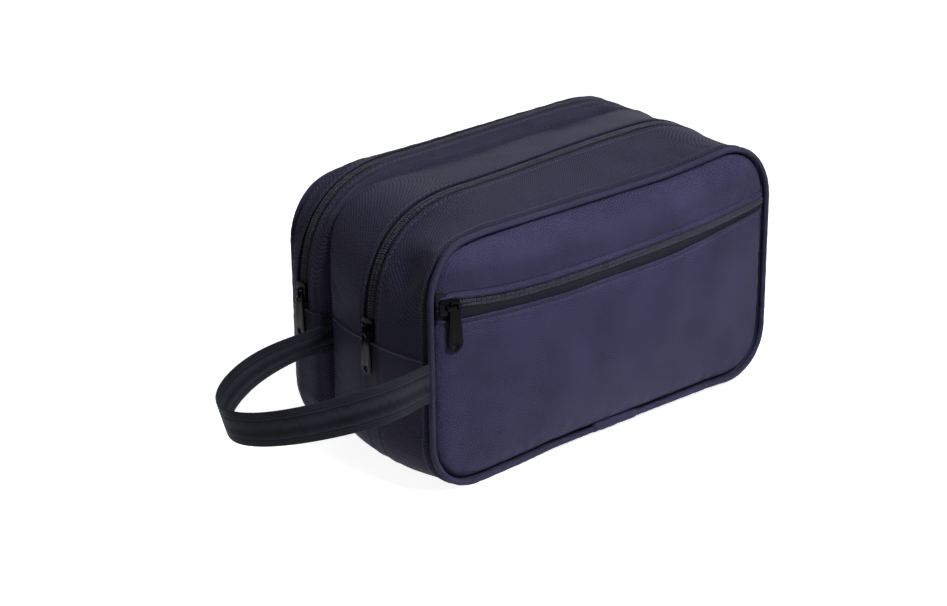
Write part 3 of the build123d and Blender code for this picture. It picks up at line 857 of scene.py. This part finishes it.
def tube_points(centre, outward, radius, wrinkles):
    """Rings of points round a closed centre line that lies in an upright plane."""
    turn = np.linspace(0, 2 * math.pi, bead_sides, endpoint=False)
    along = lengths_along(centre[None])[0]
    slanted = along[:, None] + radius * turn[None, :]
    girth = radius + wrinkles * wrinkle(slanted, radius * np.sin(turn)[None, :])
    depth_way = np.array([0, 1, 0])
    return centre[:, None] + girth[..., None] * (
        np.cos(turn)[None, :, None] * outward[:, None] + np.sin(turn)[None, :, None] * depth_way
    )


def tube_piece(name, rings, along, radius, material, closed):
    """Tube object from rings of points; a closed one joins its last ring to its first."""
    count, sides = rings.shape[:2]
    corner = np.arange(count * sides).reshape(count, sides)
    following = np.roll(corner, -1, axis=0) if closed else corner[1:]
    first = corner if closed else corner[:-1]
    faces = np.stack(
        [first, np.roll(first, -1, axis=1), np.roll(following, -1, axis=1), following], axis=-1
    ).reshape(-1, 4).tolist()
    if not closed:
        faces += [corner[0][::-1].tolist(), corner[-1].tolist()]
    mesh = bpy.data.meshes.new(name)
    mesh.from_pydata(rings.reshape(-1, 3).tolist(), [], faces)
    layer = mesh.uv_layers.new(name="pattern")
    length = float(along[-1] + (along[1] - along[0]))
    for polygon in mesh.polygons:
        for loop in polygon.loop_indices:
            ring, side = divmod(mesh.loops[loop].vertex_index, sides)
            last = polygon.index // sides == count - 1
            u = length if last and ring == 0 else float(along[ring])
            wrapped = side == 0 and polygon.index % sides == sides - 1
            v = (sides if wrapped else side) / sides * 2 * math.pi * radius
            layer.data[loop].uv = (u, v)
    mesh.shade_smooth()
    mesh.materials.append(material)
    mesh.validate()
    piece = bpy.data.objects.new(name, mesh)
    bpy.context.collection.objects.link(piece)
    return piece


def recalculated(piece):
    """Points a closed piece's faces outwards."""
    shell = bmesh.new()
    shell.from_mesh(piece.data)
    bmesh.ops.recalc_face_normals(shell, faces=shell.faces)
    shell.to_mesh(piece.data)
    shell.free()


bead_runs = runs_between(0, run_count, bead_step)[:-1]
for name, seam, node_name in (
    ("front_bead", front_seam, "front_piping"),
    ("back_bead", back_seam, "back_piping"),
):
    sizes = (piping_half, piping_top, piping_low, piping_corner_top, piping_corner_low)
    line = []
    for inset in (bead_radius - bead_slimmer, bead_radius - bead_slimmer - 1 * mm):
        x, z = outline_point(bead_runs, *(
            size + (inset if order == 2 else -inset) for order, size in enumerate(sizes)
        ))
        line.append(np.stack([x, seam + 0 * x, z - seam_sag(x, seam, z)], axis=-1))
    rings = tube_points(line[0], (line[1] - line[0]) / mm, bead_radius - bead_slimmer, 0.09 * mm)
    rings[..., 1] += bead_slimmer * (1 if seam > 0 else -1)
    along = lengths_along(line[0][None])[0]
    bead = tube_piece(name, rings, along, bead_radius, piping_cloth, closed=True)
    recalculated(bead)
    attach(bead, "bag")
    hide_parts(node_name)


# Wrapped join: the ends of the front piping's cord meet under the pocket, and a short strip of
# the same cloth is folded round both and sewn in with them.
join_left, join_right = (corner.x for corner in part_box("front_piping_join"))
join_wall = 0.9 * mm
join_count = round((join_right - join_left) / (0.5 * mm))
join_x = np.linspace(join_left, join_right, join_count)
join_z = piping_low + bead_radius + 0 * join_x
join_line = np.stack([
    join_x, front_seam + 0 * join_x, join_z - seam_sag(join_x, front_seam, join_z)
], axis=-1)
join_end = np.minimum(join_x - join_left, join_right - join_x)
join_girth = bead_radius + join_wall * (0.25 + 0.6 * np.clip(join_end / (1.2 * mm), 0, 1) ** 0.5)
join_turn = np.linspace(0, 2 * math.pi, bead_sides, endpoint=False)
join_fold = 0.25 * mm * wrinkle(join_x[:, None] * 0.7, join_turn[None, :] * 2 * mm)
join_radius = join_girth[:, None] + join_fold
join_rings = join_line[:, None] + np.stack([
    0 * join_radius, np.sin(join_turn) * join_radius, -np.cos(join_turn) * join_radius * 0.93
], axis=-1)
join_rings[..., 2] = np.maximum(join_rings[..., 2], 0.05 * mm)
join = tube_piece(
    "piping_join", join_rings, join_x - join_left, bead_radius, piping_cloth, closed=False
)
recalculated(join)
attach(join, "bag")
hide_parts("front_piping_join")


# Zips: woven tapes sewn under the folded edges, with a nylon coil along each inner edge. The
# coils' loops take turns at the middle, and two rows of sewing hold each coil on its tape.
tape_cloth = woven_cloth(
    "zip_tape_cloth",
    (0.0020, 0.0026, 0.0032),
    (0.0250, 0.0270, 0.0390),
    0.03,
    (0.6, 0.75, 0.8),
    (0.75 * mm, 0.9 * mm),
    ribs=0.2,
    grain=0.4,
    slant=math.radians(35),
)


def plain_finish(
    name, colour, roughness, coat=0.0, grain=0.0, grain_scale=2500, gloss=0.3, tone=0.25
):
    """Even finish with a fine grain and a slow drift of tone."""
    material = bpy.data.materials.new(name)
    tree, output = new_tree(material)
    shader = node(tree, "ShaderNodeBsdfPrincipled")
    shader.inputs["Specular IOR Level"].default_value = gloss
    shader.inputs["Coat Weight"].default_value = coat
    shader.inputs["Coat Roughness"].default_value = 0.08
    place = node(tree, "ShaderNodeTexCoord")
    fine = node(tree, "ShaderNodeTexNoise", noise_dimensions="3D")
    fine.inputs["Scale"].default_value = grain_scale
    fine.inputs["Detail"].default_value = 3
    tree.links.new(place.outputs["Object"], fine.inputs["Vector"])
    slow = node(tree, "ShaderNodeTexNoise", noise_dimensions="3D")
    slow.inputs["Scale"].default_value = 160
    tree.links.new(place.outputs["Object"], slow.inputs["Vector"])
    tree.links.new(
        colour_between(
            tree,
            slow.outputs["Fac"],
            [value * (1 - tone) for value in colour],
            [value * (1 + tone) for value in colour],
        ),
        shader.inputs["Base Color"],
    )
    tree.links.new(
        reckon(tree, "MULTIPLY_ADD", fine.outputs["Fac"], 0.16, roughness - 0.08),
        shader.inputs["Roughness"],
    )
    finish_shader(tree, output, shader, fine.outputs["Fac"], grain, 0.0001)
    return material


coil_nylon = plain_finish("coil_nylon", (0.062, 0.066, 0.082), 0.34, grain=0.1, gloss=0.06)
thread_finish = plain_finish(
    "thread", (0.070, 0.068, 0.112), 0.55, grain=0.5, grain_scale=6000, gloss=0.05
)

tape_drop = 1.35 * mm
tape_wall = 0.6 * mm
tape_width = 8.5 * mm
slit = 1.4 * mm
tape_lap = 4.3 * mm
tooth_pitch = 1.45 * mm


def evenly(points, outward, spacing):
    """Places at an even spacing along a dense line, with their outward and forward ways."""
    along = lengths_along(points[None])[0]
    count = max(2, int(along[-1] / spacing))
    marks = (np.arange(count) + 0.5) * along[-1] / count
    ahead = np.gradient(points, axis=0)
    picked = [
        np.stack([np.interp(marks, along, layer[:, k]) for k in range(3)], axis=-1)
        for layer in (points, outward, ahead)
    ]
    for ways in picked[1:]:
        ways /= np.linalg.norm(ways, axis=-1, keepdims=True)
    return picked


def arch_tree():
    """Geometry nodes that set a bent rod on each point, across its outward and forward ways."""
    tree = bpy.data.node_groups.new("arches", "GeometryNodeTree")
    tree.interface.new_socket("Geometry", in_out="INPUT", socket_type="NodeSocketGeometry")
    defaults = {"Reach": 1.3 * mm, "Rise": 0.9 * mm, "Foot": 0.5 * mm, "Thickness": 0.38 * mm}
    for name, value in defaults.items():
        made = tree.interface.new_socket(name, in_out="INPUT", socket_type="NodeSocketFloat")
        made.default_value = value
    tree.interface.new_socket("Slant", in_out="INPUT", socket_type="NodeSocketFloat")
    tree.interface.new_socket("Finish", in_out="INPUT", socket_type="NodeSocketMaterial")
    tree.interface.new_socket("Geometry", in_out="OUTPUT", socket_type="NodeSocketGeometry")
    entry = node(tree, "NodeGroupInput")
    leave = node(tree, "NodeGroupOutput")

    def place(x_value, z_value):
        """Point of the rod's line from its reach and height."""
        made = node(tree, "ShaderNodeCombineXYZ")
        if x_value is not None:
            tree.links.new(x_value, made.inputs[0])
        tree.links.new(z_value, made.inputs[2])
        return made.outputs[0]

    foot = reckon(tree, "MULTIPLY", entry.outputs["Foot"], -1.0)
    back = reckon(tree, "MULTIPLY", entry.outputs["Reach"], -1.0)
    bend = node(tree, "GeometryNodeCurveQuadraticBezier")
    bend.inputs["Resolution"].default_value = 6
    tree.links.new(place(back, foot), bend.inputs["Start"])
    tree.links.new(place(None, entry.outputs["Rise"]), bend.inputs["Middle"])
    tree.links.new(place(entry.outputs["Reach"], foot), bend.inputs["End"])
    round_section = node(tree, "GeometryNodeCurvePrimitiveCircle")
    round_section.inputs["Resolution"].default_value = 6
    tree.links.new(entry.outputs["Thickness"], round_section.inputs["Radius"])
    rod = node(tree, "GeometryNodeCurveToMesh")
    rod.inputs["Fill Caps"].default_value = True
    tree.links.new(bend.outputs[0], rod.inputs["Curve"])
    tree.links.new(round_section.outputs[0], rod.inputs["Profile Curve"])
    ways = node(tree, "FunctionNodeAxesToRotation", primary_axis="Z", secondary_axis="X")
    for attribute, slot in (("outward", 0), ("forward", 1)):
        read = node(tree, "GeometryNodeInputNamedAttribute", data_type="FLOAT_VECTOR")
        read.inputs["Name"].default_value = attribute
        tree.links.new(read.outputs["Attribute"], ways.inputs[slot])
    lean = node(tree, "ShaderNodeCombineXYZ")
    tree.links.new(entry.outputs["Slant"], lean.inputs[2])
    lean_turn = node(tree, "FunctionNodeEulerToRotation")
    tree.links.new(lean.outputs[0], lean_turn.inputs[0])
    turned = node(tree, "FunctionNodeRotateRotation", rotation_space="LOCAL")
    tree.links.new(ways.outputs[0], turned.inputs[0])
    tree.links.new(lean_turn.outputs[0], turned.inputs[1])
    copies = node(tree, "GeometryNodeInstanceOnPoints")
    tree.links.new(entry.outputs["Geometry"], copies.inputs["Points"])
    tree.links.new(rod.outputs[0], copies.inputs["Instance"])
    tree.links.new(turned.outputs[0], copies.inputs["Rotation"])
    real = node(tree, "GeometryNodeRealizeInstances")
    tree.links.new(copies.outputs[0], real.inputs[0])
    finish = node(tree, "GeometryNodeSetMaterial")
    tree.links.new(real.outputs[0], finish.inputs["Geometry"])
    tree.links.new(entry.outputs["Finish"], finish.inputs["Material"])
    tree.links.new(finish.outputs[0], leave.inputs[0])
    return tree


arches = arch_tree()


def row_of_arches(name, rows, material, reach, rise, foot, thickness, slant=0.0):
    """Plain mesh of one bent rod at each place of the rows."""
    places, outward, forward = (np.concatenate(layers) for layers in zip(*rows))
    seeds = bpy.data.meshes.new(name + "_places")
    seeds.from_pydata(places.tolist(), [], [])
    for attribute, ways in (("outward", outward), ("forward", forward)):
        layer = seeds.attributes.new(attribute, "FLOAT_VECTOR", "POINT")
        layer.data.foreach_set("vector", ways.astype(np.float32).ravel())
    holder = bpy.data.objects.new(name + "_places", seeds)
    bpy.context.collection.objects.link(holder)
    repeat = holder.modifiers.new("arches", "NODES")
    repeat.node_group = arches
    sizes = {
        "Reach": reach,
        "Rise": rise,
        "Foot": foot,
        "Thickness": thickness,
        "Slant": slant,
        "Finish": material,
    }
    for socket in arches.interface.items_tree:
        if socket.in_out == "INPUT" and socket.name in sizes:
            repeat[socket.identifier] = sizes[socket.name]
    ready = holder.evaluated_get(bpy.context.evaluated_depsgraph_get())
    mesh = bpy.data.meshes.new_from_object(ready)
    mesh.name = name
    for attribute in ("outward", "forward"):
        if attribute in mesh.attributes:
            mesh.attributes.remove(mesh.attributes[attribute])
    mesh.shade_smooth()
    if material.name not in mesh.materials:
        mesh.materials.append(material)
    bpy.data.objects.remove(holder)
    piece = bpy.data.objects.new(name, mesh)
    bpy.context.collection.objects.link(piece)
    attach(piece, "bag")
    return piece


def outward_ways(points, dropped):
    """Unit ways from points dropped inwards to the points themselves."""
    ways = points - dropped
    return ways / np.linalg.norm(ways, axis=-1, keepdims=True)


fine_runs = runs_between(right_end_seam, left_end_seam, 0.4 * mm)


def gusset_line(depth, inset, stations, compartment=None):
    """Dense line along the gusset at one depth, with its outward ways."""
    depths = depth + 0 * fine_runs
    points = gusset_point(fine_runs, depths, inset, stations)
    ways = outward_ways(points, gusset_point(fine_runs, depths, inset + 1 * mm, stations))
    if compartment:
        points = gusset_face(fine_runs, depths, stations, compartment, inset)
    return points, ways


def add_tooth_rows(prefix, side, sign, line_at, node_name, reach):
    """Coil of one tape edge and the sewing that holds it."""
    points, outward = line_at(sign * reach)
    places, ways, forward = evenly(points, outward, tooth_pitch)
    places = places + forward * (tooth_pitch / 4) * sign
    sideways = np.cross(ways, forward) * sign
    teeth = row_of_arches(
        f"{prefix}_coil_{side}", [(places, ways, sideways)], coil_nylon,
        reach=reach, rise=0.95 * mm, foot=0.4 * mm, thickness=0.32 * mm, slant=0.22 * sign,
    )
    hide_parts(node_name)
    rows = []
    for row in (0.75 * reach, 1.45 * reach):
        points, outward = line_at(sign * row)
        rows.append(evenly(points + outward * 0.25 * mm, outward, 2 * tooth_pitch))
    sewn = row_of_arches(
        f"{prefix}_coil_sewing_{side}", rows, thread_finish,
        reach=1.15 * mm, rise=0.35 * mm, foot=0.1 * mm, thickness=0.14 * mm,
    )


for compartment, stations in compartments.items():
    zip_line = stations[1]
    for side, sign in (("front", -1), ("rear", 1)):
        widths = np.linspace(slit / 2, slit / 2 + tape_width, 7)
        profile = zip_line + sign * widths
        runs = runs_between(right_end_seam, left_end_seam, cloth_step)
        points = gusset_point(runs[None, :], profile[:, None], tape_drop, stations)
        lower = [points[:, :1].copy(), points[:, -1:].copy()]
        for end in lower:
            end[..., 2] -= tape_lap
        points = np.concatenate([lower[0], points, lower[1]], axis=1)
        lengths = lengths_along(points[0][None])[0]
        pattern = np.stack(np.meshgrid(lengths, widths), axis=-1)
        tape = cloth_piece(f"{compartment}_tape_{side}", points, pattern, tape_wall, tape_cloth)
        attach(tape, "bag")
        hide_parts(f"{compartment}_zip_tape_{side}")

        def coil_line(reach, zip_line=zip_line, stations=stations):
            """Dense line on the tape beside the zip's middle."""
            return gusset_line(zip_line + reach, 0.75 * mm, stations)

        add_tooth_rows(
            f"{compartment}_zip", side, sign, coil_line, f"{compartment}_zip_coil_{side}", 1.2 * mm
        )

pocket_reach = inside_half(np.array(chain_height + slit / 2 + tape_width), bead_width + 0.2 * mm)
pocket_x = np.linspace(-pocket_reach, pocket_reach, 160)
fine_pocket_x = np.linspace(-pocket_reach, pocket_reach, 600)
for side, sign in (("lower", -1), ("upper", 1)):
    widths = np.linspace(slit / 2, slit / 2 + tape_width, 7)
    x = np.tile(pocket_x, (len(widths), 1))
    z = chain_height + sign * widths[:, None] + chain_shift(x)
    points = panel_point(x, z, "front", 1.15 * mm, plain=True)
    tape = cloth_piece(
        f"pocket_tape_{side}", points, np.stack([x, z], axis=-1), tape_wall, tape_cloth
    )
    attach(tape, "bag")
    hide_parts(f"pocket_zip_tape_{side}")

    def pocket_line(reach):
        """Dense line along the pocket's chain beside its middle."""
        z = chain_height + reach + chain_shift(fine_pocket_x)
        points = panel_point(fine_pocket_x, z, "front", 0.55 * mm, plain=True)
        tilt = np.gradient(points, axis=0)
        tilt = np.cross(tilt, np.array([0, 0, 1.0]))
        return points, tilt / np.linalg.norm(tilt, axis=-1, keepdims=True)

    add_tooth_rows("pocket_zip", side, sign, pocket_line, f"pocket_zip_coil_{side}", 1.0 * mm)


# Topstitching: lockstitch rows in dark thread along the folded edges of the zips, along the
# pocket's mouth and across the ends where the bands and the base are joined.
stitch_pitch = 3.0 * mm
lockstitch = {"reach": 1.15 * mm, "rise": 0.42 * mm, "foot": 0.12 * mm, "thickness": 0.2 * mm}
stitch_rows = []
for compartment, stations in compartments.items():
    zip_line = stations[1]
    for sign in (-1, 1):
        depth = zip_line + sign * (window_half + 2.3 * mm)
        points, outward = gusset_line(depth, 0.0, stations, compartment)
        stitch_rows.append(evenly(points, outward, stitch_pitch))
stitches = row_of_arches("gusset_topstitches", stitch_rows, thread_finish, **lockstitch)

pocket_stitches = []
for edge, shift, climb, _, _ in mouth_edges:
    z = edge - climb * sewn_place + shift(fine_pocket_x)
    points = panel_point(fine_pocket_x, z, "front")
    deeper = panel_point(fine_pocket_x, z, "front", 1 * mm)
    pocket_stitches.append(evenly(points, outward_ways(points, deeper), stitch_pitch))
stitches = row_of_arches("pocket_topstitches", pocket_stitches, thread_finish, **lockstitch)


# Wrist strap: black polypropylene webbing bent into one loop. Its ends are sewn into the front
# piped seam and the middle seam, and the loop's own stiffness holds it out with a slight twist.
strap_width = 22.5 * mm
strap_wall = 1.5 * mm
# The centre line's control points in millimetres, each with the twist of the webbing there.
strap_controls = np.array([
    (-121.0, front_seam / mm, 68.2, 0),
    (-136.0, front_seam / mm - 1, 68.2, 0),
    (-156.2, front_seam / mm - 19.9, 75.4, 0.13),
    (-209.9, front_seam / mm + 12.9, 61.9, -0.2),
    (-234.1, front_seam / mm + 48.4, 58.4, -0.39),
    (-183.7, front_seam / mm + 81.2, 68.4, 0.19),
    (-118.6, front_seam / mm + 87.9, 65.1, 0.68),
    (-138.0, mid_seam / mm + 0.5, 68.2, 0),
    (-121.0, mid_seam / mm, 68.2, 0),
])


def smooth_line(controls, count):
    """Clamped cubic B-spline through control points, at even parameters."""
    degree = 3
    spans = len(controls) - degree
    knots = np.concatenate([[0] * degree, np.arange(spans + 1), [spans] * degree])
    params = np.linspace(0, spans - 1e-9, count)[:, None]
    weights = ((knots[:-1] <= params) & (params < knots[1:])).astype(float)
    for order in range(1, degree + 1):
        near = knots[order:-1] - knots[:-order - 1]
        far = knots[order + 1:] - knots[1:-order]
        rising = np.zeros((count, len(near)))
        falling = np.zeros((count, len(far)))
        np.divide(params - knots[:-order - 1], near, where=near > 0, out=rising)
        np.divide(knots[order + 1:] - params, far, where=far > 0, out=falling)
        weights = weights[:, :-1] * rising + weights[:, 1:] * falling
    return weights @ controls


strap_line = smooth_line(strap_controls, 260)
strap_centre = strap_line[:, :3] * mm
strap_along = lengths_along(strap_centre[None])[0]
strap_ahead = np.gradient(strap_centre, axis=0)
strap_plan = np.stack([strap_ahead[:, 1], -strap_ahead[:, 0]], axis=-1)
strap_plan /= np.linalg.norm(strap_plan, axis=-1, keepdims=True)
strap_lean = strap_line[:, 3]
strap_up = np.stack([
    strap_plan[:, 0] * np.sin(strap_lean), strap_plan[:, 1] * np.sin(strap_lean), np.cos(strap_lean)
], axis=-1)
strap_face = np.cross(strap_up, strap_ahead)
strap_face /= np.linalg.norm(strap_face, axis=-1, keepdims=True)
section_turn = np.linspace(0, 2 * math.pi, 48, endpoint=False)
turn_cos, turn_sin = np.cos(section_turn), np.sin(section_turn)
section_width = strap_width / 2 * np.sign(turn_cos) * np.abs(turn_cos) ** 0.35
section_depth = strap_wall / 2 * np.sign(turn_sin) * np.abs(turn_sin) ** 0.55
strap_rings = (
    strap_centre[:, None]
    + section_width[None, :, None] * strap_up[:, None]
    + section_depth[None, :, None] * strap_face[:, None]
)
strap_webbing = woven_cloth(
    "strap_webbing",
    (0.0040, 0.0045, 0.0065),
    (0.0260, 0.0290, 0.0400),
    0.04,
    (0.5, 0.55, 0.85),
    (1.6 * mm, 0.9 * mm),
    ribs=0.3,
    grain=0.3,
    slant=math.radians(90),
)
strap = tube_piece(
    "strap_loop", strap_rings, strap_along, strap_width / math.pi * 1.02, strap_webbing,
    closed=False,
)
recalculated(strap)
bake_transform(strap)
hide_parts("handle_strap")


# Inner sheets: the divider hangs from the middle seam between the compartments, and the backing
# behind the front panel makes the pocket. Both are thin flat-cut lining.
lining_cloth = woven_cloth(
    "lining_cloth",
    (0.0060, 0.0060, 0.0070),
    (0.0200, 0.0200, 0.0230),
    0.1,
    (0.6, 0.6, 0.7),
    (0.5 * mm, 0.5 * mm),
    ribs=0.05,
    grain=0.4,
)
backing_depth = sum(corner.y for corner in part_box("front_backing_panel")) / 2
inner_sheets = {
    "divider_sheet": ("divider_panel", mid_seam, 2.4 * mm),
    "pocket_backing": ("front_backing_panel", backing_depth, 3.2 * mm),
}
for name, (node_name, depth, cut) in inner_sheets.items():
    rise = spread(40, 0.6)
    lower = piping_low + cut + (back_middle - piping_low - cut) * rise
    z = np.concatenate([lower, (piping_low + piping_top - lower)[-2::-1]])[:, None]
    x = across[::3] * inside_half(z, cut)
    points = np.stack([x, depth + 0 * x, z - seam_sag(x, depth, z) + 0 * x], axis=-1)
    sheet = cloth_piece(name, points, np.stack([x, z + 0 * x], axis=-1), 0, lining_cloth)
    wall = sheet.modifiers.new("wall", "SOLIDIFY")
    wall.thickness = 0.5 * mm
    wall.offset = 0
    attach(sheet, "bag")
    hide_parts(node_name)


# Seam bindings: woven tape sewn round the raw edges inside the three seams. Each goes once round
# the bag, and its end laps over its start in the middle of the bottom.
binding_tape = woven_cloth(
    "binding_tape",
    (0.0040, 0.0040, 0.0050),
    (0.0160, 0.0160, 0.0190),
    0.1,
    (0.6, 0.6, 0.7),
    (0.8 * mm, 1.4 * mm),
    ribs=0.2,
    grain=0.3,
)
binding_wall = 0.6 * mm
binding_runs = np.append(runs_between(0, run_count, 2.5 * mm), [11.05, 11.1, 11.15])
for node_name, compartment in (
    ("front_seam_binding", "main"),
    ("mid_seam_binding_front", "main"),
    ("mid_seam_binding_rear", "rear"),
    ("back_seam_binding", "rear"),
):
    low, high = (corner.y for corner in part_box(node_name))
    depths = np.linspace(low + 0.2 * mm, high - 0.2 * mm, 5)[:, None]
    lap = 2.6 * mm + 0.9 * mm * eased(binding_runs, 10.9, 11.02)[None, :]
    points = gusset_point(binding_runs[None, :], depths, lap, compartments[compartment])
    lengths = lengths_along(points[2][None])[0]
    pattern = np.stack(np.meshgrid(lengths, depths[:, 0]), axis=-1)
    strip = cloth_piece(node_name + "_tape", points, pattern, binding_wall, binding_tape)
    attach(strip, "bag")
    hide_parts(node_name)


# Sliders and pulls: zinc castings in gloss black enamel. Every edge of a casting is rounded, so
# it carries a thin line of light.
enamel = plain_finish(
    "black_enamel", (0.002, 0.002, 0.003), 0.18, grain=0.2, grain_scale=900, gloss=0.06
)


def casting(name, node_name, body, rounding):
    """Copy of a cast part with its flat faces joined and its edges rounded."""
    shell = bmesh.new()
    shell.from_mesh(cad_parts[node_name].data)
    bmesh.ops.remove_doubles(shell, verts=shell.verts, dist=0.002 * mm)
    bmesh.ops.dissolve_limit(shell, angle_limit=math.radians(3), verts=shell.verts, edges=shell.edges)
    sharp = [edge for edge in shell.edges if edge.is_manifold and edge.calc_face_angle() > 0.7]
    bmesh.ops.bevel(
        shell, geom=sharp, offset=rounding, segments=2, profile=0.5, affect="EDGES", clamp_overlap=True
    )
    bmesh.ops.triangulate(shell, faces=shell.faces)
    mesh = bpy.data.meshes.new(name)
    shell.to_mesh(mesh)
    shell.free()
    mesh.shade_smooth()
    mesh.set_sharp_from_angle(angle=math.radians(38))
    mesh.materials.append(enamel)
    piece = bpy.data.objects.new(name, mesh)
    bpy.context.collection.objects.link(piece)
    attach(piece, body)
    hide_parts(node_name)


for zip_name in ("pocket", "main", "rear"):
    casting(zip_name + "_slider_casting", zip_name + "_slider", zip_name + "_runner", 0.22 * mm)
    casting(zip_name + "_pull_casting", zip_name + "_pull", zip_name + "_tab", 0.25 * mm)
